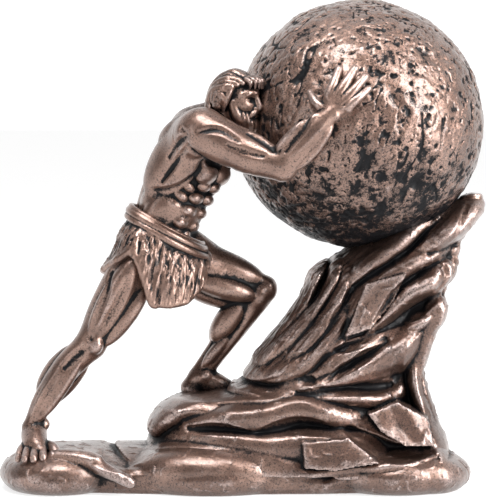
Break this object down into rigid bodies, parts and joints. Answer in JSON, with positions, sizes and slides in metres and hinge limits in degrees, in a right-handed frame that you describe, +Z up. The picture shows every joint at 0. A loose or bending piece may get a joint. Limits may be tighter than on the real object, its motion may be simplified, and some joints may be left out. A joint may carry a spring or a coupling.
{
  "type": "sisyphus statue",
  "caption": "Cold-cast bronze statuette of a bearded man in a loincloth pushing a boulder up a crag on an oval base.",
  "frame": {"origin": "middle of the underside, under the centre of the whole object's box", "axes": "+X uphill, the way the figure pushes; +Z up; -Y the side the viewer sees"},
  "size_m": [0.2031, 0.1093, 0.2001],
  "materials": {
    "bronze": "antiqued copper bronze with black wash in the recesses, satin"
  },
  "bodies": {
    "root": {"statue": "bronze"}
  },
  "joints": []
}
